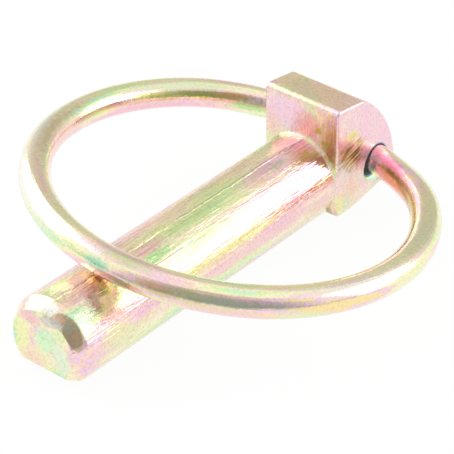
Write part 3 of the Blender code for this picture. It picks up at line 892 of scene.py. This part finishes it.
def finish_metal(tree, shader, colour, flow, roughness, normal):
    """Joins the film's colour, a gloss that varies along the flow, and the relief to the shader."""
    smoothest, roughest = roughness
    wear = add_node(
        tree, "ShaderNodeTexNoise", {"Vector": flow, "Scale": 1 / GLOSS_PATCH, "Detail": 3.0}
    )
    rough = add_node(
        tree,
        "ShaderNodeMapRange",
        {
            "Value": wear.outputs["Fac"],
            "From Min": GLOSS_NOISE[0],
            "From Max": GLOSS_NOISE[1],
            "To Min": smoothest,
            "To Max": roughest,
        },
    )
    tree.links.new(colour, shader.inputs["Base Color"])
    tree.links.new(rough.outputs[0], shader.inputs["Roughness"])
    tree.links.new(normal, shader.inputs["Normal"])


def grain_direction(tree, place, along_shank, up_head):
    """Coordinates drawn out along the shank, and up the head."""
    shank = add_node(tree, "ShaderNodeMapping", {"Vector": place, "Scale": (along_shank, 1, 1)})
    head = add_node(tree, "ShaderNodeMapping", {"Vector": place, "Scale": (1, 1, up_head)})
    x = add_node(tree, "ShaderNodeSeparateXYZ", {"Vector": place}).outputs["X"]
    on_head = add_node(
        tree,
        "ShaderNodeMapRange",
        {"Value": x, "From Min": GRAIN_TURNS[0], "From Max": GRAIN_TURNS[1]},
    )
    mixed = {"Factor": on_head.outputs[0], "A": shank.outputs[0], "B": head.outputs[0]}
    return add_node(tree, "ShaderNodeMix", mixed, data_type="VECTOR").outputs["Result"]


def deepest_on_shank(tree, place):
    """How deep the relief is: whole on the shank, and slight on the pressed head and tip."""
    x = add_node(tree, "ShaderNodeSeparateXYZ", {"Vector": place}).outputs["X"]
    shoulder = TIP_CHAMFER_LENGTH - SHANK_LENGTH
    past_tip, before_head = (
        add_node(
            tree,
            "ShaderNodeMapRange",
            {"Value": x, "From Min": slight, "From Max": whole, "To Min": SLIGHT_RELIEF},
        ).outputs[0]
        for slight, whole in ((shoulder, shoulder + RELIEF_FADES_AT_TIP), RELIEF_FADES_AT_HEAD)
    )
    both = {0: past_tip, 1: before_head}
    return add_node(tree, "ShaderNodeMath", both, operation="MINIMUM").outputs[0]


def parting_line(tree, place, depth):
    """Height of the low, broken ridge that the dies' joint leaves along the top of the shank."""
    wander = add_node(
        tree, "ShaderNodeTexNoise", {"Vector": place, "Scale": 1 / PARTING_LINE_WAVE, "Detail": 3.0}
    )
    y = add_node(tree, "ShaderNodeSeparateXYZ", {"Vector": place}).outputs["Y"]
    shifted = add_node(
        tree,
        "ShaderNodeMath",
        {0: wander.outputs["Fac"], 1: PARTING_LINE_WANDER, 2: y},
        operation="MULTIPLY_ADD",
    )
    line = {0: shifted.outputs[0], 1: PARTING_LINE_Y + PARTING_LINE_WANDER / 2}
    centred = add_node(tree, "ShaderNodeMath", line, operation="SUBTRACT")
    away = add_node(tree, "ShaderNodeMath", {0: centred.outputs[0]}, operation="ABSOLUTE")
    rise = {
        "Value": away.outputs[0],
        "From Min": PARTING_LINE_WIDTH,
        "From Max": 0.0,
        "To Max": depth,
    }
    return add_node(
        tree, "ShaderNodeMapRange", rise, interpolation_type="SMOOTHSTEP"
    ).outputs[0]


def in_bore(tree, place):
    """1 on the wall of the cross-hole, and 0 on the faces round it."""
    from_axis = add_node(
        tree, "ShaderNodeVectorMath", {0: place, 1: HINGE + HOLE_SHIFT}, operation="SUBTRACT"
    )
    across = add_node(
        tree,
        "ShaderNodeVectorMath",
        {0: from_axis.outputs[0], 1: HINGE_AXIS},
        operation="CROSS_PRODUCT",
    )
    reach = add_node(tree, "ShaderNodeVectorMath", {0: across.outputs[0]}, operation="LENGTH")
    mouth = HOLE_RADIUS + HOLE_MOUTH_CHAMFER
    inner = HOLE_RADIUS + HOLE_MOUTH_CHAMFER / 2
    wall = {"Value": reach.outputs["Value"], "From Min": mouth, "From Max": inner}
    return add_node(tree, "ShaderNodeMapRange", wall).outputs[0]


def plated_forging():
    """Drop-forged steel, zinc plated and yellow chromated.

    The plating's crystals give a fine sparkle, and the dies leave streaks along the shank and up
    the head. The thin chromate film shows soft pastel patches, browner in places, and some patches
    are painted shade, dim reflection and highlight; the scratches by the hole carry painted dim
    reflection and glints. The wall of the cross-hole is matt, and its grey-blue is a painted tint
    for the shade in the gap round the wire.
    """
    material, tree, shader = new_metal("yellow_chromated_forging")
    place = add_node(tree, "ShaderNodeTexCoord").outputs["Object"]
    grain = {"even": place}
    for name, stretch in FORGING_STRETCH.items():
        grain[name] = grain_direction(tree, place, *stretch)
    colour = film_colour(tree, grain, FORGING_CLOUDS)
    colour = with_patches(tree, colour, place, SHANK_FILM_AND_PAINTED_LIGHT_PATCHES + TIP_FILM_AND_PAINTED_LIGHT_PATCHES + HEAD_PATCHES)
    colour = scratched_with_painted_reflection(tree, colour, place)
    colour = speckled(tree, colour, place, FORGING_SPECKLE)
    bore = in_bore(tree, place)
    # Painted shade tint on the wall of the cross-hole.
    inside = {"Factor": bore, "A": colour, "B": linear(BORE_PAINTED_SHADE_TINT)}
    colour = add_node(tree, "ShaderNodeMix", inside, data_type="RGBA").outputs["Result"]
    depth = deepest_on_shank(tree, place)
    ridge = (parting_line(tree, place, depth), PARTING_LINE_HEIGHT)
    normal = relief(tree, grain, FORGING_RELIEF, depth, ridge)
    x = add_node(tree, "ShaderNodeSeparateXYZ", {"Vector": place}).outputs["X"]
    roughness = []
    for shank, head in zip(SHANK_ROUGHNESS, HEAD_ROUGHNESS):
        turn = {
            "Value": x,
            "From Min": GLOSS_TURNS[0],
            "From Max": GLOSS_TURNS[1],
            "To Min": shank,
            "To Max": head,
        }
        outside = add_node(tree, "ShaderNodeMapRange", turn).outputs[0]
        matt = {"Value": bore, "To Min": outside, "To Max": BORE_ROUGHNESS}
        roughness.append(add_node(tree, "ShaderNodeMapRange", matt).outputs[0])
    finish_metal(tree, shader, colour, grain["drawn"], roughness, normal)
    return material


def along_wire(tree, place):
    """Coordinates that follow the ring: along the wire, outwards from its middle, and up."""
    centre, across, outward = ring_frame()
    from_centre = add_node(
        tree, "ShaderNodeVectorMath", {0: place, 1: centre}, operation="SUBTRACT"
    )
    out, side, height = (
        add_node(
            tree,
            "ShaderNodeVectorMath",
            {0: from_centre.outputs[0], 1: axis},
            operation="DOT_PRODUCT",
        ).outputs["Value"]
        for axis in (outward, across, across.cross(outward))
    )
    turn = add_node(tree, "ShaderNodeMath", {0: side, 1: out}, operation="ARCTAN2")
    along = add_node(
        tree, "ShaderNodeMath", {0: turn.outputs[0], 1: RING_RADIUS}, operation="MULTIPLY"
    )
    flat = add_node(tree, "ShaderNodeCombineXYZ", {"X": out, "Y": side})
    reach = add_node(tree, "ShaderNodeVectorMath", {0: flat.outputs[0]}, operation="LENGTH")
    past = add_node(
        tree, "ShaderNodeMath", {0: reach.outputs["Value"], 1: RING_RADIUS}, operation="SUBTRACT"
    )
    place_on_wire = {"X": along.outputs[0], "Y": past.outputs[0], "Z": height}
    return add_node(tree, "ShaderNodeCombineXYZ", place_on_wire).outputs["Vector"]


def plated_wire():
    """Drawn spring wire, zinc plated and yellow chromated.

    Drawing leaves it smoother than the forging, with fine lines and long soft patches along it,
    some of them painted highlight and dim reflection.
    """
    material, tree, shader = new_metal("yellow_chromated_wire")
    place = add_node(tree, "ShaderNodeTexCoord").outputs["Object"]
    route = along_wire(tree, place)
    grain = {"even": place}
    for name, stretch in WIRE_STRETCH.items():
        drawn_out = {"Vector": route, "Scale": (stretch, 1, 1)}
        grain[name] = add_node(tree, "ShaderNodeMapping", drawn_out).outputs[0]
    colour = film_colour(tree, grain, WIRE_CLOUDS)
    colour = with_patches(tree, colour, route, WIRE_FILM_AND_PAINTED_LIGHT_PATCHES)
    colour = speckled(tree, colour, place, WIRE_SPECKLE)
    normal = relief(tree, grain, WIRE_RELIEF)
    finish_metal(tree, shader, colour, grain["drawn"], WIRE_ROUGHNESS, normal)
    return material


def direction(azimuth, elevation):
    """Unit vector to a place in the studio: azimuth from +X towards +Y, elevation from the floor."""
    azimuth = math.radians(azimuth)
    elevation = math.radians(elevation)
    level = math.cos(elevation)
    return Vector((level * math.cos(azimuth), level * math.sin(azimuth), math.sin(elevation)))


def seen_directly_or_mirrored(tree, kinds):
    """1 for rays of these kinds, and 0 for the light that only falls on a surface."""
    path = add_node(tree, "ShaderNodeLightPath")
    seen = path.outputs[kinds[0]]
    for kind in kinds[1:]:
        both = {0: seen, 1: path.outputs[kind]}
        seen = add_node(tree, "ShaderNodeMath", both, operation="MAXIMUM").outputs[0]
    return seen


def white_card():
    """Matt white card. It glows evenly where it is seen or mirrored, and keeps a faint shadow.

    Towards the camera the card ends, so metal mirrors the dim room there.
    """
    material = bpy.data.materials.new("white_card")
    material.use_nodes = True
    tree = material.node_tree
    tree.nodes.remove(tree.nodes["Principled BSDF"])
    place = add_node(tree, "ShaderNodeTexCoord").outputs["Object"]
    towards_camera = add_node(
        tree,
        "ShaderNodeVectorMath",
        {0: place, 1: Vector((CAMERA_PLACE.x, CAMERA_PLACE.y, 0)).normalized()},
        operation="DOT_PRODUCT",
    )
    edge = add_node(
        tree,
        "ShaderNodeMapRange",
        {
            "Value": towards_camera.outputs["Value"],
            "From Min": CARD_EDGE - CARD_EDGE_BLUR,
            "From Max": CARD_EDGE + CARD_EDGE_BLUR,
            "To Min": 1.0,
            "To Max": CARD_END_GLOW,
        },
        interpolation_type="SMOOTHSTEP",
    )
    camera = add_node(tree, "ShaderNodeLightPath").outputs["Is Camera Ray"]
    strength = add_node(
        tree, "ShaderNodeMath", {0: edge.outputs[0], 1: camera}, operation="MAXIMUM"
    )
    glow = add_node(
        tree, "ShaderNodeEmission", {"Color": linear(WHITE), "Strength": strength.outputs[0]}
    )
    card = add_node(tree, "ShaderNodeBsdfDiffuse", {"Color": linear(WHITE)})
    seen = seen_directly_or_mirrored(
        tree, ("Is Camera Ray", "Is Glossy Ray", "Is Transmission Ray")
    )
    share = add_node(tree, "ShaderNodeMath", {0: seen, 1: GLOW_SHARE}, operation="MULTIPLY")
    mix = add_node(
        tree, "ShaderNodeMixShader", {0: share.outputs[0], 1: card.outputs[0], 2: glow.outputs[0]}
    )
    tree.links.new(mix.outputs[0], tree.nodes["Material Output"].inputs["Surface"])
    return material


def build_world():
    """A white studio that is dim round the camera and behind the object."""
    world = bpy.data.worlds.new("studio")
    bpy.context.scene.world = world
    world.use_nodes = True
    tree = world.node_tree
    towards = add_node(tree, "ShaderNodeTexCoord").outputs["Generated"]
    colour = linear(WHITE)
    for azimuth, elevation, inner, outer, dim_colour in DIM_PLACES:
        facing = add_node(
            tree,
            "ShaderNodeVectorMath",
            {0: towards, 1: direction(azimuth, elevation)},
            operation="DOT_PRODUCT",
        )
        share = add_node(
            tree,
            "ShaderNodeMapRange",
            {
                "Value": facing.outputs["Value"],
                "From Min": math.cos(math.radians(outer)),
                "From Max": math.cos(math.radians(inner)),
            },
            interpolation_type="SMOOTHSTEP",
        )
        dimmed = add_node(
            tree,
            "ShaderNodeMix",
            {"Factor": share.outputs[0], "A": colour, "B": linear(dim_colour)},
            data_type="RGBA",
        )
        colour = dimmed.outputs["Result"]
    seen = add_node(tree, "ShaderNodeLightPath").outputs["Is Camera Ray"]
    backdrop = add_node(
        tree,
        "ShaderNodeMix",
        {"Factor": seen, "A": colour, "B": linear(WHITE)},
        data_type="RGBA",
    )
    tree.links.new(backdrop.outputs["Result"], tree.nodes["Background"].inputs["Color"])


def add_softbox(name, azimuth, elevation, width, height, radiance):
    """A rectangular lamp that faces the object."""
    lamp = bpy.data.lights.new(name, "AREA")
    lamp.shape = "RECTANGLE"
    lamp.size = width
    lamp.size_y = height
    lamp.energy = radiance * math.pi * width * height
    softbox = bpy.data.objects.new(name, lamp)
    away = direction(azimuth, elevation)
    turn = away.to_track_quat("Z", "Y").to_matrix().to_4x4()
    softbox.matrix_world = Matrix.Translation(away * SOFTBOX_DISTANCE) @ turn
    bpy.context.scene.collection.objects.link(softbox)


def add_camera():
    """The photograph's camera."""
    lens = bpy.data.cameras.new("camera")
    lens.sensor_width = SENSOR_WIDTH
    lens.lens = LENS
    lens.clip_start = CLIP_START
    camera = bpy.data.objects.new("camera", lens)
    up = CAMERA_RIGHT.cross(CAMERA_FORWARD)
    turn = Matrix((CAMERA_RIGHT, up, -CAMERA_FORWARD)).transposed()
    camera.matrix_world = Matrix.Translation(CAMERA_PLACE) @ turn.to_4x4()
    bpy.context.scene.collection.objects.link(camera)
    bpy.context.scene.camera = camera


def build_stage():
    bpy.ops.mesh.primitive_plane_add(size=FLOOR_SIZE, location=(0, 0, FOOT_HEIGHT))
    floor = new_piece("floor")
    floor.data.materials.append(white_card())
    build_world()
    for softbox in SOFTBOXES:
        add_softbox(*softbox)
    add_camera()
    bpy.context.scene.view_settings.view_transform = "Standard"


build_stage()
for piece, material, node, body, slot in (
    (make_pin(), plated_forging(), "forged_pin", "pin", "forging"),
    (make_ring(), plated_wire(), "lock_ring", "ring", "wire"),
):
    bpy.ops.object.select_all(action="DESELECT")
    bpy.context.view_layer.objects.active = piece
    piece.select_set(True)
    bpy.ops.object.shade_smooth_by_angle(angle=SMOOTH_ANGLE)
    apply_modifier(piece, "WEIGHTED_NORMAL", keep_sharp=True)
    piece.data.materials.clear()
    piece.data.materials.append(material)
    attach(piece, body)
    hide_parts(node)
